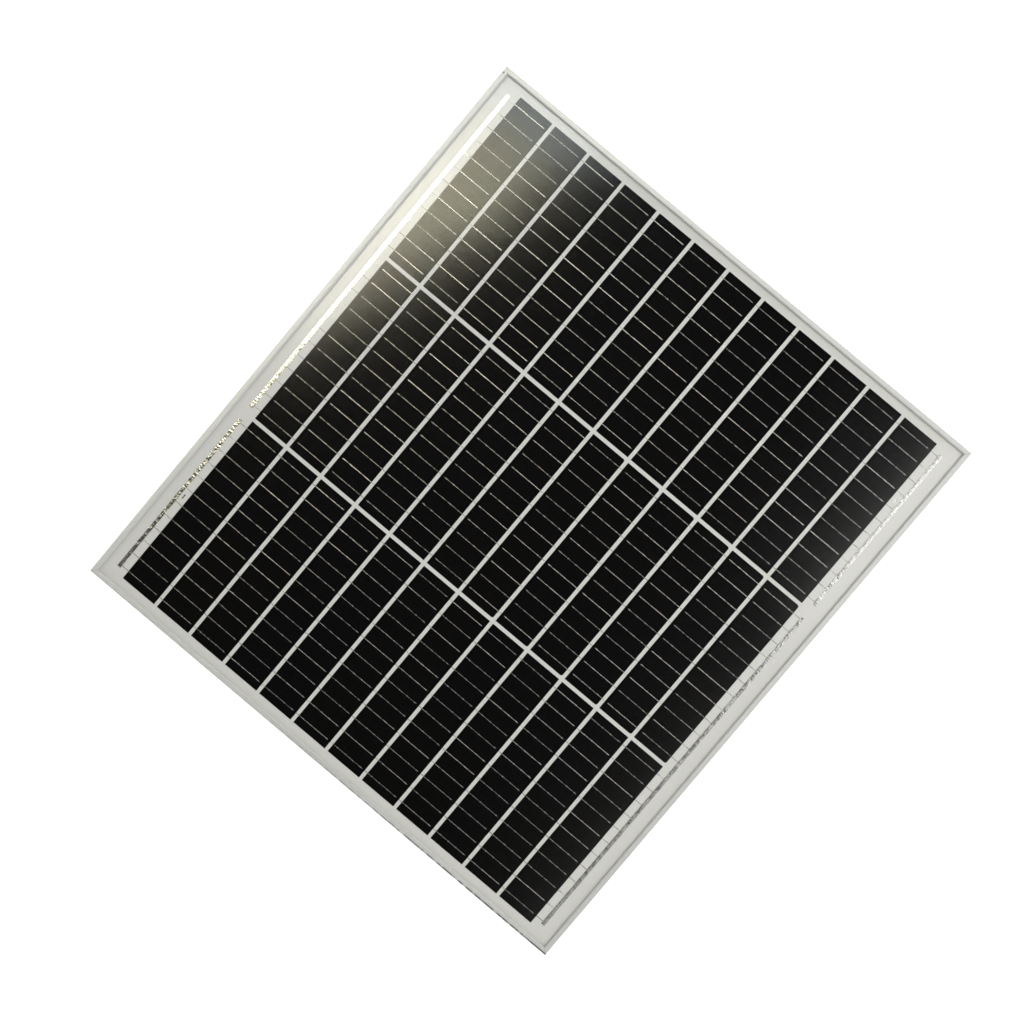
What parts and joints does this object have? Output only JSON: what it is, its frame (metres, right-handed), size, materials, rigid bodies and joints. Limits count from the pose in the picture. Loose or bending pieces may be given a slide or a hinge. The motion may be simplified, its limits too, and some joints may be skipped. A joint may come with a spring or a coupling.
{
  "type": "framed solar panel",
  "caption": "Framed glass photovoltaic panel with rows of narrow cells, an aluminium frame and a hinged junction box behind.",
  "frame": {"origin": "centre of the rear plane of the frame, on which the panel rests face up", "axes": "+Z out of the glass, +Y along the cells' long sides towards the rail next to the junction box, +X across the cells' short sides"},
  "size_m": [0.61, 0.667, 0.025],
  "materials": {
    "frame": "clear anodised extrusion, satin",
    "corner_key": "plain extrusion, sawn",
    "sealant": "white silicone",
    "glass": "tempered low-iron glass, clear",
    "encapsulant": "clear film",
    "backsheet": "white film, matt",
    "cell": "blue-black silicon with a fine printed grid",
    "cell_ribbon": "tinned copper",
    "bus_ribbon": "tinned copper, bright",
    "insulation": "white film",
    "box_plastic": "black, fine spark texture",
    "lid_plastic": "black, fine spark texture",
    "box_adhesive": "white silicone bead",
    "gasket": "black silicone",
    "hinge_pin": "plain steel",
    "terminal": "tinned brass",
    "screw": "zinc plated",
    "diode": "black epoxy with tinned legs",
    "gland_plastic": "black polyamide",
    "gland_seal": "black rubber",
    "label": "blank silver polyester label"
  },
  "bodies": {
    "panel": {"backsheet": "backsheet", "bus_ribbon_left_lower": "bus_ribbon", "bus_ribbon_left_upper": "bus_ribbon", "bus_ribbon_right_lower": "bus_ribbon", "bus_ribbon_right_upper": "bus_ribbon", "bypass_diode": "diode", "cell_ribbons_bottom": "cell_ribbon", "cell_ribbons_middle": "cell_ribbon", "cell_ribbons_top": "cell_ribbon", "cell_string_bottom": "cell", "cell_string_middle": "cell", "cell_string_top": "cell", "corner_key_bottom_left": "corner_key", "corner_key_bottom_right": "corner_key", "corner_key_top_left": "corner_key", "corner_key_top_right": "corner_key", "edge_sealant": "sealant", "frame_rail_bottom": "frame", "frame_rail_left": "frame", "frame_rail_right": "frame", "frame_rail_top": "frame", "front_encapsulant": "encapsulant", "front_glass": "glass", "gland_body_left": "gland_plastic", "gland_body_right": "gland_plastic", "gland_locknut_left": "gland_plastic", "gland_locknut_right": "gland_plastic", "gland_nut_left": "gland_plastic", "gland_nut_right": "gland_plastic", "gland_seal_left": "gland_seal", "gland_seal_right": "gland_seal", "hinge_pin_left": "hinge_pin", "hinge_pin_right": "hinge_pin", "insulation_strip_negative": "insulation", "insulation_strip_positive": "insulation", "junction_box_adhesive": "box_adhesive", "junction_box_base": "box_plastic", "lead_ribbon_negative": "bus_ribbon", "lead_ribbon_positive": "bus_ribbon", "rating_label": "label", "rear_encapsulant": "encapsulant", "terminal_negative": "terminal", "terminal_positive": "terminal", "terminal_screws": "screw"},
    "lid": {"junction_box_lid": "lid_plastic", "lid_gasket": "gasket"}
  },
  "joints": [
    {"name": "lid_hinge", "type": "hinge", "parent": "panel", "child": "lid", "pos_m": [0, 0.27425, 0.00437], "axis": [1, 0, 0], "range_deg": [0, 100]}
  ]
}
